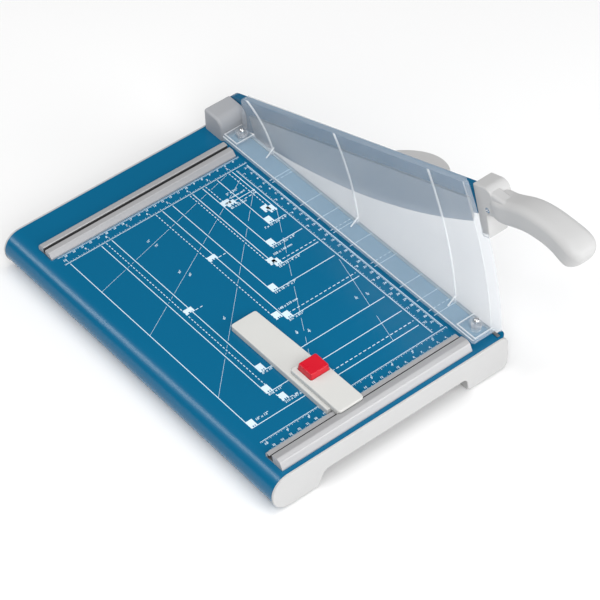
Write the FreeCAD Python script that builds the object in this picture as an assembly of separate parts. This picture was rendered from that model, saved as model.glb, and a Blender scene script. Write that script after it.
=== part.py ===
"""Lever-arm paper cutter with a clear blade guard, a sliding backstop and a 340 mm cut.

Axes while modelling: X runs to the right from the cutting edge, Y runs to the back from the
face of the rear rail, Z runs up from the floor. All sizes are millimetres. At the end every
piece is moved so that the origin is the middle of the bounding box, on the floor.
"""
import FreeCAD
import Part

import math
import os

from FreeCAD import Rotation, Vector

# Table
TOP = 42.5                  # height of the table's surface
TABLE_LEFT = -283.5
TABLE_FRONT = -372.0
TABLE_BACK = 61.0
SHEET = 1.5                 # steel sheet of the table
FOLD_R = 19.4               # rolled left edge
FOLD_DEPTH = 39.0
KNIFE_T = 3.2               # bed knife, its outer face is the cutting edge
KNIFE_DEPTH = 22.0
KNIFE_FRONT = -366.4
KNIFE_BACK = 26.0
CAP_FACE = 2.3              # front wall of an end cap
CAP_FLOOR = 1.5             # underside of an end cap, above the floor
CAP_RIGHT = 5.7             # the front cap reaches past the cutting edge
CHEEK_BACK = -361.7         # back of the front cap's cheek beside the blade
FOOT_X = ((-253.0, -232.0), (-45.0, -25.0))
ARCH_TOP = 18.5             # underside of an end cap between its feet

# Rails
RAIL_X = (-265.5, -34.0)
FRONT_RAIL_BACK = -340.0
RAIL_SCREW_X = (-200.0, -135.0, -70.0)
FRONT_SCREW_Y = -357.0
REAR_SCREW_Y = 17.0
BRACE_X = (-231.7, -45.3)
BRACE_DEPTH = 20.0
FRONT_BRACE_Y = (-366.0, -340.0)
REAR_BRACE_Y = (-2.0, 24.0)
FRONT_CAP_SCREW_Y = -354.0
REAR_CAP_SCREW_Y = 18.0

# Bed rail behind the knife
BED_RAIL_X = (-24.0, -4.7)
BED_RAIL_Y = (-358.0, 56.0)
BED_RAIL_Z = (TOP - 24.0, TOP - SHEET)
KNIFE_SCREW_Y = (-310.0, -232.0, -154.0, -76.0, 2.0)

# Arm pivot
PIVOT_Y = 42.5
PIVOT_Z = TOP + 10.0
OPEN_ANGLE = 20.0           # arm above level, as stored
CLOSED_ANGLE = 1.0
ARM_X = (3.1, 11.1)
ARM_END_R = 19.6
ARM_TIP_TOP = (392.5, 18.0)     # (s, h): s along the arm, h across it
ARM_TIP_BOTTOM = (389.6, -13.0)
TANG_X = (6.0, 11.1)
SHOULDER_R = 5.0
BUSH_R = 7.0
RUNNING_GAP = 0.04
STOP_ARC_R = 11.3
STOP_PIN_R = 1.6
STOP_PIN_ANGLE = -30.0

# Blade
BLADE_X = (0.1, 3.1)
BLADE_SPAN = (26.0, 384.0)
BLADE_TOP = 4.0
BLADE_R = 846.0             # curved cutting edge
BLADE_BELLY = (200.0, -41.2)
BEVEL = 4.5
BLADE_SCREW_S = (60.0, 135.0, 195.0, 255.0, 365.0)
BLADE_SCREW_H = -6.0

# Handle, in the arm's own frame: s along the arm, h across it
HANDLE_X = (3.4, 27.0)
HANDLE_SPLIT = 14.5
WALL = 2.5
GRIP_SECTIONS = (           # s, h, slope in degrees, height, width, middle x
    (397.0, 0.4, 1.0, 24.0, 22.6, 14.9),
    (413.0, -2.6, 5.0, 27.0, 23.4, 15.0),
    (429.4, -3.5, 7.0, 27.9, 25.6, 14.9),
    (455.2, -1.8, -1.5, 28.1, 27.7, 14.7),
    (480.8, -5.0, -13.9, 28.3, 29.7, 14.4),
    (504.9, -14.3, -29.5, 28.4, 31.8, 14.1),
    (515.7, -21.4, -38.4, 28.5, 32.8, 14.0))
GRIP_TIP = (525.2, -30.2, -48.1)
GRIP_ROUND = 13.0
GRIP_CORNER = 8.0
TANG_OUTLINE = ((388.0, -11.0), (388.0, 14.0), (404.0, 5.0), (455.0, 4.5), (455.0, -9.0))
FRONT_SCREW = (446.0, -1.9)
BACK_SCREW = (406.0, -5.3)

# Side rest on the arm's outer face
REST_S = (265.7, 347.7)
REST_BULGE = 13.9
REST_H = (-12.0, 18.2)
REST_SCREW_S = (288.0, 325.0)

# Guard
PAPER_GAP = 4.6
STRIP_X = (-30.3, -3.3)
STRIP_Y = (-362.0, 26.5)
STRIP_T = 2.4
WALL_X = (-5.5, -3.3)
GUARD_CENTRE = (40.0, TOP - 15.0)   # centre of the guard's curved front and of its ribs
GUARD_R = 399.0
GUARD_BACK = 24.0
GUARD_BACK_TOP = TOP + 48.2
GUARD_SLOPE = 0.353
GUARD_TOP_FRONT = -317.0
FLANGE_X = 2.0
FLANGE_SPLIT = -1.5         # the moulding's rims beyond this are a node of their own
FLANGE_STEP = TOP + 116.0           # the front flange is narrower above this
RIB_R = (72.0, 204.5, 350.0)
BOSS_X = (-28.4, -5.4)
BOSS_Y = ((5.0, 26.4), (-361.9, -335.0))
BOSS_HEIGHT = 3.6
BOSS_WALL = 1.5
TOWER_R = 7.4
GUARD_SCREWS = ((-12.0, 16.5), (-12.0, -345.5))

# Backstop
STOP_X = (-190.2, -155.8)
STOP_BACK = -191.0
STOP_FRONT = -351.0
PLATE_FRONT = -337.5
PAD_BACK = -278.0
STOP_TAPER = 3.4            # the bar is this much narrower at its back end
PLATE_H = 6.5
PAD_H = 12.2
SHOE_TOP = 6.6
BUTTON_CENTRE = (-169.4, -292.5)

PLANES = {
    "XY": lambda a, b, c: Vector(a, b, c),
    "XZ": lambda a, b, c: Vector(a, c, b),
    "YZ": lambda a, b, c: Vector(c, a, b),
}


# ---------------------------------------------------------------- shape helpers

def block(x, y, z):
    return Part.makeBox(x[1] - x[0], y[1] - y[0], z[1] - z[0], Vector(x[0], y[0], z[0]))


def rod(start, direction, radius, length):
    return Part.makeCylinder(radius, length, Vector(*start), Vector(*direction))


def rounded_wire(corners):
    """Closed wire through (point, radius) corners, each turned with a tangent arc."""
    starts, ends, arcs = [], [], []
    for i, (point, radius) in enumerate(corners):
        to_last = (corners[i - 1][0] - point).normalize()
        to_next = (corners[(i + 1) % len(corners)][0] - point).normalize()
        if radius == 0:
            starts.append(point)
            ends.append(point)
            arcs.append(None)
            continue
        half = to_last.getAngle(to_next) / 2
        trim = radius / math.tan(half)
        middle = (to_last + to_next).normalize()
        centre = point + middle * (radius / math.sin(half))
        starts.append(point + to_last * trim)
        ends.append(point + to_next * trim)
        arcs.append(Part.Arc(starts[-1], centre - middle * radius, ends[-1]).toShape())
    edges = []
    for i, arc in enumerate(arcs):
        if arc:
            edges.append(arc)
        following = starts[(i + 1) % len(starts)]
        if (following - ends[i]).Length > 1e-6:
            edges.append(Part.makeLine(ends[i], following))
    return Part.Wire(edges)


def prism(corners, plane, span):
    """Solid from corners (a, b) or (a, b, radius) in a plane, from span[0] to span[1]."""
    place = PLANES[plane]
    points = [(place(c[0], c[1], span[0]), c[2] if len(c) > 2 else 0) for c in corners]
    depth = place(0, 0, span[1]) - place(0, 0, span[0])
    return Part.Face(rounded_wire(points)).extrude(depth)


def fuse(shapes):
    return shapes[0].fuse(shapes[1:]).removeSplitter()


def cut(shape, tools):
    return shape.cut(tools).removeSplitter()


def group(shapes):
    return Part.makeCompound(shapes)


def aimed(shape, position, direction):
    """Copy of a shape drawn along +Z, turned to a direction and moved to a position."""
    placed = shape.copy()
    placed.Placement = FreeCAD.Placement(
        Vector(*position), Rotation(Vector(0, 0, 1), Vector(*direction)))
    return placed


def fillet_edges(shape, radius, wanted):
    return shape.makeFillet(radius, [edge for edge in shape.Edges if wanted(edge)])


def all_at(edge, axis, value):
    return all(abs(getattr(vertex.Point, axis) - value) < 0.01 for vertex in edge.Vertexes)


def cross_recess(radius, depth):
    """Phillips recess, cut down from z = 0."""
    bar = block((-radius, radius), (-0.28 * radius, 0.28 * radius), (-depth, 1.0))
    turned = bar.copy()
    turned.rotate(Vector(0, 0, 0), Vector(0, 0, 1), 90)
    return bar.fuse(turned)


def pan_screw(head_r, head_h, shank_r, length):
    """Domed head above z = 0, shank below."""
    head = rod((0, 0, 0), (0, 0, 1), head_r, head_h)
    head = fillet_edges(head, head_h * 0.6, lambda edge: all_at(edge, "z", head_h))
    recess = cross_recess(head_r * 0.55, head_h * 0.5)
    recess.translate(Vector(0, 0, head_h))
    return cut(head, [recess]).fuse(rod((0, 0, 0), (0, 0, -1), shank_r, length))


def flat_screw(head_r, shank_r, length):
    """Countersunk head with its top at z = 0, shank below."""
    drop = head_r - shank_r
    head = Part.makeCone(shank_r, head_r, drop, Vector(0, 0, -drop))
    shank = rod((0, 0, 0), (0, 0, -1), shank_r, length)
    recess = cross_recess(head_r * 0.55, drop * 0.7)
    return cut(head.fuse(shank), [recess])


def countersink(head_r, shank_r, length):
    """Hole for flat_screw, with its mouth at z = 0."""
    drop = head_r - shank_r
    cone = Part.makeCone(shank_r, head_r, drop, Vector(0, 0, -drop))
    return cone.fuse(rod((0, 0, 1), (0, 0, -1), shank_r, length + 1))


def hexagon(across_flats, height):
    radius = across_flats / math.sqrt(3)
    points = [(radius * math.cos(math.radians(60 * i)), radius * math.sin(math.radians(60 * i)))
              for i in range(6)]
    return prism(points, "XY", (0, height))


def ring(outer, inner, height):
    return rod((0, 0, 0), (0, 0, 1), outer, height).cut(rod((0, 0, 0), (0, 0, 1), inner, height))


def coil_spring(radius, wire_r, height, turns):
    """Compression spring standing on z = 0, round wire with ground ends."""
    helix = Part.makeHelix(height / turns, height, radius)
    section = Part.Wire(Part.makeCircle(wire_r, Vector(radius, 0, 0), Vector(0, 1, 0)))
    spring = Part.Wire(helix).makePipeShell([section], True, True)
    return spring.common(rod((0, 0, 0), (0, 0, 1), radius + 3, height))


# ---------------------------------------------------------------- table and base

def table_outline(inset):
    """Section of the rolled table sheet's outside, moved inwards by inset."""
    left = TABLE_LEFT + inset
    right = -KNIFE_T - inset
    high = TOP - inset
    low = TOP - FOLD_DEPTH + inset
    radius = FOLD_R - inset
    return left, right, high, low, radius


def table_top():
    left, right, high, low, radius = table_outline(0)
    left_in, right_in, high_in, low_in, radius_in = table_outline(SHEET)
    lip = left + 27.5
    section = [
        (right, TOP - 26), (right, high, 1.8), (left, high, radius), (left, low, radius),
        (lip, low), (lip, low_in), (left_in, low_in, radius_in), (left_in, high_in, radius_in),
        (right_in, high_in, 0.3), (right_in, TOP - 26)]
    shell = prism(section, "XZ", (TABLE_FRONT + 2.5, TABLE_BACK - 2.5))
    front = TABLE_FRONT + 2.5
    tab = prism([(-6, front), (CAP_RIGHT, front, 6.5), (CAP_RIGHT, CHEEK_BACK, 1),
                 (0.4, CHEEK_BACK), (0.4, KNIFE_FRONT - 0.2), (-6, KNIFE_FRONT - 0.2)],
                "XY", (TOP - SHEET, TOP))
    holes = [rod((x, y, TOP + 1), (0, 0, -1), 2.0, 4)
             for x in RAIL_SCREW_X for y in (FRONT_SCREW_Y, REAR_SCREW_Y)]
    holes += [rod((x, y, TOP + 1), (0, 0, -1), 2.0, 4) for x, y in GUARD_SCREWS]
    holes += [rod((-20, y, TOP + 1), (0, 0, -1), 2.5, 4) for y in (36.0, 49.0)]
    holes += [rod((0, y, TOP - 12), (-1, 0, 0), 2.5, 8) for y in KNIFE_SCREW_Y]
    return cut(shell.fuse(tab), holes)


def bed_rail():
    bar = block(BED_RAIL_X, BED_RAIL_Y, BED_RAIL_Z)
    holes = [rod((x, y, TOP), (0, 0, -1), 2.0, 14) for x, y in GUARD_SCREWS]
    holes += [rod((-20, y, TOP), (0, 0, -1), 2.5, 14) for y in (36.0, 49.0)]
    holes += [rod((0, y, TOP - 12), (-1, 0, 0), 2.5, 14) for y in KNIFE_SCREW_Y]
    return cut(bar, holes)


def bed_knife():
    bar = block((-KNIFE_T, 0), (KNIFE_FRONT, KNIFE_BACK), (TOP - KNIFE_DEPTH, TOP))
    sink = countersink(4.7, 2.5, 6)
    return cut(bar, [aimed(sink, (0, y, TOP - 12), (1, 0, 0)) for y in KNIFE_SCREW_Y])


def bed_knife_screws():
    screw = flat_screw(4.65, 2.45, 13.5)
    return group([aimed(screw, (0, y, TOP - 12), (1, 0, 0)) for y in KNIFE_SCREW_Y])


def brace(y, cap_screw_y, rail_screw_y):
    outer = block(BRACE_X, y, (TOP - BRACE_DEPTH, TOP - SHEET))
    inner = block((BRACE_X[0] + SHEET, BRACE_X[1] - SHEET), (y[0] + SHEET, y[1] - SHEET),
                  (TOP - BRACE_DEPTH - 1, TOP - 2 * SHEET))
    holes = [rod((x, rail_screw_y, TOP), (0, 0, -1), 2.0, 4) for x in RAIL_SCREW_X]
    holes += [rod((x, cap_screw_y, TOP - 12), (1, 0, 0), 2.0, 4)
              for x in (BRACE_X[0] - 1, BRACE_X[1] - 2.5)]
    return cut(outer, [inner] + holes)


def end_cap(front):
    """Moulded end cap: a face with two feet and an arch between them, and foot boxes behind."""
    face_y, inward = (TABLE_FRONT, 1) if front else (TABLE_BACK, -1)
    right = CAP_RIGHT if front else 0.0
    leg_depth = 30.0 if front else 47.0
    screw_y = FRONT_CAP_SCREW_Y if front else REAR_CAP_SCREW_Y

    def depth(near, far):
        return tuple(sorted((face_y + inward * near, face_y + inward * far)))

    outline = [
        (TABLE_LEFT, TOP - 0.1, FOLD_R), (TABLE_LEFT, CAP_FLOOR, 20), (-230, CAP_FLOOR, 4),
        (-221.5, ARCH_TOP, 8), (-47, ARCH_TOP, 6), (-45, CAP_FLOOR, 4),
        (right, CAP_FLOOR, 9), (right, TOP - 0.1, 9)]
    face = prism(outline, "XZ", depth(0, CAP_FACE))
    pieces = [fillet_edges(face, 0.9, lambda edge: all_at(edge, "y", face_y))]
    rim = [(-281.7, TOP - 1.8, 17.6), (-281.7, TOP - 37, 17.6), (-262, TOP - 37),
           (-262, TOP - 34.5), (-279.2, TOP - 34.5, 15.1), (-279.2, TOP - 4.3, 15.1),
           (-26, TOP - 4.3), (-26, TOP - 1.8)]
    pieces.append(prism(rim, "XZ", depth(CAP_FACE, 5.5)))
    for low, high in FOOT_X:
        leg = block((low, high), depth(CAP_FACE, leg_depth), (CAP_FLOOR, TOP - 6))
        room = block((low + 2, high - 2), depth(CAP_FACE, leg_depth - 2),
                     (CAP_FLOOR + 3, TOP - 5))
        pieces.append(leg.cut(room))
    if front:
        cheek = prism(outline, "XZ", depth(CAP_FACE, CHEEK_BACK - TABLE_FRONT))
        beside_blade = block((0.4, right), (TABLE_FRONT, CHEEK_BACK), (0, TOP - SHEET - 0.1))
        pieces.append(cheek.common(beside_blade))
    holes = []
    for x, y in foot_centres(front):
        holes.append(rod((x, y, 0), (0, 0, 1), 9.1, CAP_FLOOR + 1.2))
        holes.append(rod((x, y, 0), (0, 0, 1), 3.0, 10))
    holes.append(rod((BRACE_X[0], screw_y, TOP - 12), (-1, 0, 0), 2.0, 12))
    holes.append(rod((BRACE_X[1], screw_y, TOP - 12), (1, 0, 0), 2.0, 12))
    return cut(fuse(pieces), holes)


def foot_centres(front):
    y = TABLE_FRONT + 16.5 if front else TABLE_BACK - 16.5
    return [((low + high) / 2, y) for low, high in FOOT_X]


def end_cap_screws():
    screw = pan_screw(3.6, 2.4, 1.95, 7)
    screws = []
    for y in (FRONT_CAP_SCREW_Y, REAR_CAP_SCREW_Y):
        screws.append(aimed(screw, (BRACE_X[0] + SHEET, y, TOP - 12), (1, 0, 0)))
        screws.append(aimed(screw, (BRACE_X[1] - SHEET, y, TOP - 12), (-1, 0, 0)))
    return group(screws)


def rubber_feet():
    pads = []
    for front in (True, False):
        for x, y in foot_centres(front):
            pad = rod((x, y, 0), (0, 0, 1), 9.0, CAP_FLOOR + 1.2)
            pad = fillet_edges(pad, 0.8, lambda edge: all_at(edge, "z", 0))
            stem = rod((x, y, CAP_FLOOR), (0, 0, 1), 2.95, 4.2)
            pads.append(pad.fuse(stem))
    return group(pads)


# ---------------------------------------------------------------- rails

def front_rail():
    front = TABLE_FRONT + 7.5
    back = FRONT_RAIL_BACK
    section = [
        (front, TOP), (front, TOP + 1.2, 0.5), (-361.0, TOP + 8.8, 3), (-356.5, TOP + 10.2, 4),
        (-348.6, TOP + 8.6, 1.2), (-348.6, TOP + 4.0), (-350.6, TOP + 4.0), (-350.6, TOP + 1.4),
        (-342.8, TOP + 1.4), (-342.8, TOP + 3.6), (-345.4, TOP + 3.6), (-345.4, TOP + 5.2, 0.6),
        (back, TOP + 5.0, 1.2), (back, TOP)]
    bar = prism(section, "YZ", RAIL_X)
    return cut(bar, [rod((x, FRONT_SCREW_Y, TOP - 1), (0, 0, 1), 2.0, 7) for x in RAIL_SCREW_X])


def rear_rail():
    section = [
        (0, TOP), (0, TOP + 2.0, 0.8), (4.2, TOP + 6.8, 2), (10.6, TOP + 7.0, 1),
        (10.6, TOP + 2.0), (13.6, TOP + 2.0), (13.6, TOP + 7.6, 1), (20.0, TOP + 7.6, 1.8),
        (22.0, TOP + 4.0, 1), (22.0, TOP)]
    bar = prism(section, "YZ", RAIL_X)
    return cut(bar, [rod((x, REAR_SCREW_Y, TOP - 1), (0, 0, 1), 2.0, 6) for x in RAIL_SCREW_X])


def rail_screws():
    screw = pan_screw(3.8, 2.4, 1.95, 6.6)
    return group([aimed(screw, (x, y, TOP - 2 * SHEET), (0, 0, -1))
                  for x in RAIL_SCREW_X for y in (FRONT_SCREW_Y, REAR_SCREW_Y)])


# ---------------------------------------------------------------- hinge

def hinge_bracket():
    foot = block((-27, 1.6), (31, 55), (TOP, TOP + 2.4))
    plate = prism([(31.5, TOP), (31.5, PIVOT_Z + 11, 10.9), (53.4, PIVOT_Z + 11, 10.9),
                   (53.4, PIVOT_Z - 1), (55, PIVOT_Z - 2.6), (55, TOP)], "YZ", (-4.4, 1.6))
    pin_y, pin_z = stop_pin_place()
    holes = [rod((3, PIVOT_Y, PIVOT_Z), (-1, 0, 0), 4.05, 9),
             rod((3, pin_y, pin_z), (-1, 0, 0), STOP_PIN_R, 9)]
    holes += [rod((-20, y, TOP + 3), (0, 0, -1), 2.5, 4) for y in (36.0, 49.0)]
    return cut(foot.fuse(plate), holes)


def stop_pin_place():
    angle = math.radians(STOP_PIN_ANGLE)
    return PIVOT_Y + STOP_ARC_R * math.cos(angle), PIVOT_Z + STOP_ARC_R * math.sin(angle)


def stop_pin():
    y, z = stop_pin_place()
    return rod((-4.4, y, z), (1, 0, 0), STOP_PIN_R, 11)


def hinge_bracket_screws():
    screw = pan_screw(4.0, 3.2, 2.45, 15)
    return group([aimed(screw, (-20, y, TOP + 2.4), (0, 0, 1)) for y in (36.0, 49.0)])


def hinge_cover():
    back = 57.5
    outer = prism([(27.5, TOP), (27.5, TOP + 26, 12), (back, TOP + 26, 3.5), (back, TOP)],
                  "YZ", (-30, 2.4))
    outer = fillet_edges(outer, 3.0, lambda edge: all_at(edge, "x", -30)
                         and not all_at(edge, "z", TOP))
    room = prism([(29.5, TOP - 1), (29.5, TOP + 24, 10), (back - 2, TOP + 24, 2),
                  (back - 2, TOP - 1)], "YZ", (-28, 3))
    return cut(outer, [room])


def pivot_bolt():
    head_x = ARM_X[1] + 2.45
    head = aimed(rod((0, 0, 0), (0, 0, 1), 9.0, 5.5), (head_x, PIVOT_Y, PIVOT_Z), (1, 0, 0))
    head = fillet_edges(head, 1.2, lambda edge: all_at(edge, "x", head_x + 5.5))
    socket = aimed(hexagon(6.0, 4), (head_x + 2.5, PIVOT_Y, PIVOT_Z), (1, 0, 0))
    shoulder = rod((1.6, PIVOT_Y, PIVOT_Z), (1, 0, 0), SHOULDER_R, head_x - 1.6)
    thread = rod((1.6, PIVOT_Y, PIVOT_Z), (-1, 0, 0), 4.0, 16)
    return cut(fuse([head, shoulder, thread]), [socket])


def pivot_nut():
    nut = hexagon(13.0, 6.5).cut(rod((0, 0, -1), (0, 0, 1), 4.0, 9))
    return aimed(nut, (-5.9, PIVOT_Y, PIVOT_Z), (-1, 0, 0))


def pivot_lock_washer():
    return aimed(ring(7.0, 4.2, 1.5), (-5.9, PIVOT_Y, PIVOT_Z), (1, 0, 0))


def thrust_washers():
    """One flat washer on each side of the arm."""
    washer = ring(9.2, SHOULDER_R + 0.05, 1.4)
    inner = aimed(washer, (1.6, PIVOT_Y, PIVOT_Z), (1, 0, 0))
    outer = aimed(ring(9.2, SHOULDER_R + 0.05, 1.0), (ARM_X[1] + 0.05, PIVOT_Y, PIVOT_Z), (1, 0, 0))
    return group([inner, outer])


def disc_spring():
    """Cone washer that presses the blade against the bed knife."""
    wide = Part.makeCone(8.4, 5.6, 1.0, Vector(0, 0, 0.4))
    hollow = Part.makeCone(7.9, 5.1, 1.0, Vector(0, 0, 0))
    rim = rod((0, 0, 0), (0, 0, 1), 8.4, 0.4)
    spring = rim.fuse(wide).cut([hollow, rod((0, 0, -1), (0, 0, 1), SHOULDER_R + 0.1, 4)])
    return aimed(spring, (ARM_X[1] + 1.05, PIVOT_Y, PIVOT_Z), (1, 0, 0))


# ---------------------------------------------------------------- arm, in its own frame

def arm_prism(corners, span):
    """Prism across X from corners (s, h) or (s, h, radius): s along the arm, h across it."""
    return prism([(-c[0],) + tuple(c[1:]) for c in corners], "YZ", span)


def arm_rod(s, h, x, radius, length):
    return rod((x, -s, h), (1, 0, 0), radius, length)


def on_pivot(shape):
    """Move a shape from the arm's own frame to the open arm."""
    placed = shape.copy()
    placed.rotate(Vector(0, 0, 0), Vector(1, 0, 0), -OPEN_ANGLE)
    placed.translate(Vector(0, PIVOT_Y, PIVOT_Z))
    return placed


def stop_slot():
    """Blind curved slot for the stop pin, as long as the arm's travel."""
    half = STOP_PIN_R + 0.3
    low, high = ARM_X[0] - 1, ARM_X[0] + 4.5
    near, far = STOP_ARC_R - half, STOP_ARC_R + half
    end = Part.Face(Part.makePolygon([Vector(low, near, 0), Vector(high, near, 0),
                                      Vector(high, far, 0), Vector(low, far, 0),
                                      Vector(low, near, 0)]))
    slot = end.revolve(Vector(0, 0, 0), Vector(1, 0, 0), OPEN_ANGLE - CLOSED_ANGLE)
    slot.rotate(Vector(0, 0, 0), Vector(1, 0, 0), STOP_PIN_ANGLE + CLOSED_ANGLE)
    rounds = []
    for lift in (CLOSED_ANGLE, OPEN_ANGLE):
        angle = math.radians(STOP_PIN_ANGLE + lift)
        place = (low, STOP_ARC_R * math.cos(angle), STOP_ARC_R * math.sin(angle))
        rounds.append(rod(place, (1, 0, 0), half, high - low))
    return fuse([slot] + rounds)


def arm():
    bar = arm_prism([(0, -ARM_END_R), (0, ARM_END_R), ARM_TIP_TOP, ARM_TIP_BOTTOM], ARM_X)
    end = arm_rod(0, 0, ARM_X[0], ARM_END_R, ARM_X[1] - ARM_X[0])
    tang = arm_prism(TANG_OUTLINE, TANG_X)
    holes = [arm_rod(0, 0, 0, BUSH_R, 14), stop_slot()]
    for s in BLADE_SCREW_S:
        holes.append(aimed(countersink(4.7, 2.5, 9), (ARM_X[1], -s, BLADE_SCREW_H), (1, 0, 0)))
    for s in REST_SCREW_S:
        holes.append(arm_rod(s, 5, 4, 2.0, 8))
    for s, h in (FRONT_SCREW, BACK_SCREW):
        holes.append(arm_rod(s, h, 4, 2.0, 8))
    return on_pivot(cut(fuse([bar, end, tang]), holes))


def pivot_bush():
    bush = ring(BUSH_R, SHOULDER_R + RUNNING_GAP, ARM_X[1] - ARM_X[0])
    return on_pivot(aimed(bush, (ARM_X[0], 0, 0), (1, 0, 0)))


def blade():
    s_mid, belly = BLADE_BELLY
    plate = arm_prism([(BLADE_SPAN[0], belly), (BLADE_SPAN[0], BLADE_TOP),
                       (BLADE_SPAN[1], BLADE_TOP), (BLADE_SPAN[1], belly)], BLADE_X)
    centre = (s_mid, belly + BLADE_R)
    disc = arm_rod(centre[0], centre[1], BLADE_X[0] - 1, BLADE_R, 6)
    bevel = Part.makePolygon([
        Vector(BLADE_X[1] + 0.1, -s_mid, centre[1] - BLADE_R + BEVEL),
        Vector(BLADE_X[1] + 0.1, -s_mid, centre[1] - BLADE_R - 1),
        Vector(BLADE_X[0] + 0.2, -s_mid, centre[1] - BLADE_R - 1),
        Vector(BLADE_X[0] + 0.2, -s_mid, centre[1] - BLADE_R),
        Vector(BLADE_X[1] + 0.1, -s_mid, centre[1] - BLADE_R + BEVEL)])
    wedge = Part.Face(bevel).revolve(Vector(0, -centre[0], centre[1]), Vector(1, 0, 0), 40)
    wedge.rotate(Vector(0, -centre[0], centre[1]), Vector(1, 0, 0), -20)
    holes = [arm_rod(s, BLADE_SCREW_H, BLADE_X[0] + 0.6, 2.5, 5) for s in BLADE_SCREW_S]
    return on_pivot(cut(plate.common(disc), [wedge] + holes))


def blade_screws():
    screw = flat_screw(4.65, 2.45, 10.2)
    return group([on_pivot(aimed(screw, (ARM_X[1], -s, BLADE_SCREW_H), (1, 0, 0)))
                  for s in BLADE_SCREW_S])


def side_rest():
    """Half-round moulding on the arm's outer face, hollow towards the arm."""
    low, high = REST_S
    middle = (low + high) / 2
    x = ARM_X[1]

    def lens(inset, bottom, top):
        start = Vector(x + 2, -(low + inset), bottom)
        crown = Vector(x + REST_BULGE - inset, -middle, bottom)
        finish = Vector(x + 2, -(high - inset), bottom)
        back = Part.makePolygon([finish, finish - Vector(2, 0, 0), start - Vector(2, 0, 0), start])
        wire = Part.Wire([Part.Arc(start, crown, finish).toShape()] + back.Edges)
        return Part.Face(wire).extrude(Vector(0, 0, top - bottom))

    body = lens(0, REST_H[0], REST_H[1])
    room = lens(WALL, REST_H[0] + WALL, REST_H[1] - WALL)
    bosses = [arm_rod(s, 5, x, 4.6, REST_BULGE).common(lens(1, REST_H[0] + 1, REST_H[1] - 1))
              for s in REST_SCREW_S]
    holes = []
    for s in REST_SCREW_S:
        holes.append(arm_rod(s, 5, x - 1, 2.0, 20))
        holes.append(arm_rod(s, 5, x + 5, 3.4, 20))
    return on_pivot(cut(fuse([body.cut(room)] + bosses), holes))


def side_rest_screws():
    screw = pan_screw(3.3, 2.2, 1.95, 10.5)
    return group([on_pivot(aimed(screw, (ARM_X[1] + 5, -s, 5), (1, 0, 0))) for s in REST_SCREW_S])


# ---------------------------------------------------------------- handle, in the arm's frame

def grip_section(s, h, slope, height, width, middle_x, radius):
    """Rounded rectangle across the arm's own frame, tilted by the slope."""
    angle = math.radians(slope)
    across = Vector(0, math.sin(angle), math.cos(angle))
    corners = []
    for side, lift in ((-1, -1), (1, -1), (1, 1), (-1, 1)):
        point = Vector(middle_x + side * width / 2, -s, h) + across * (lift * height / 2)
        corners.append((point, radius))
    return rounded_wire(corners)


def grip(inset):
    """Curved grip with a rounded tip, moved inwards by inset."""
    stations = [section + (0.0,) for section in GRIP_SECTIONS]
    s, h, slope, height, width, middle_x = GRIP_SECTIONS[-1]
    dome = GRIP_ROUND - inset
    for share in (0.4, 0.7, 0.9, 0.985):
        ahead = dome * share / GRIP_ROUND
        place = [here + (tip - here) * ahead for here, tip in zip((s, h, slope), GRIP_TIP)]
        shrink = dome * (1 - math.sqrt(1 - share ** 2))
        stations.append((*place, height, width, middle_x, shrink))
    wires = []
    for s, h, slope, height, width, middle_x, shrink in stations:
        margin = 2 * (inset + shrink)
        wires.append(grip_section(s, h, slope, height - margin, width - margin, middle_x,
                                  GRIP_CORNER - inset - shrink / 2))
    return Part.makeLoft(wires, True)


def collar(inset):
    """Hand guard at the root of the grip."""
    outline = [(393 + inset, 20.5 - inset, 1.5), (418 - inset, 19.5 - inset, 10),
               (418 - inset, -11 + inset, 3), (404 - inset, -11 + inset, 3),
               (398.0 - inset, -38.7 + inset, 2), (387.5 + inset, -38.7 + inset, 2)]
    span = (HANDLE_X[0] + inset, HANDLE_X[1] - inset)
    return arm_prism(outline, span)


def collar_slope():
    """Slope that leads from the top of the collar down into the grip."""
    return Part.makeLoft([grip_section(405, 12.0, 0, 14.4, 13.6, 10.2, 3.0),
                          grip_section(437, 4.3, 0, 8.6, 12.8, 10.6, 3.0)], True)


def handle_body():
    outer = collar(0)
    outer = fillet_edges(outer, 1.4, lambda edge: all_at(edge, "x", HANDLE_X[0])
                         or all_at(edge, "x", HANDLE_X[1]))
    body = fuse([outer, collar_slope(), grip(0)])
    tang_room = arm_prism([(380, -11.5), (380, 14.3), (388.2, 14.3), (404.2, 5.3), (455.3, 4.8),
                           (455.3, -9.4)], (TANG_X[0] - 0.1, TANG_X[1] + 0.1))
    plain_room = arm_prism([(396, -8), (396, 16.5), (414.5, 16.5, 6), (414.5, -8)],
                           (TANG_X[1], HANDLE_X[1] - WALL))
    return body.cut([grip(WALL), tang_room, plain_room])


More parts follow.
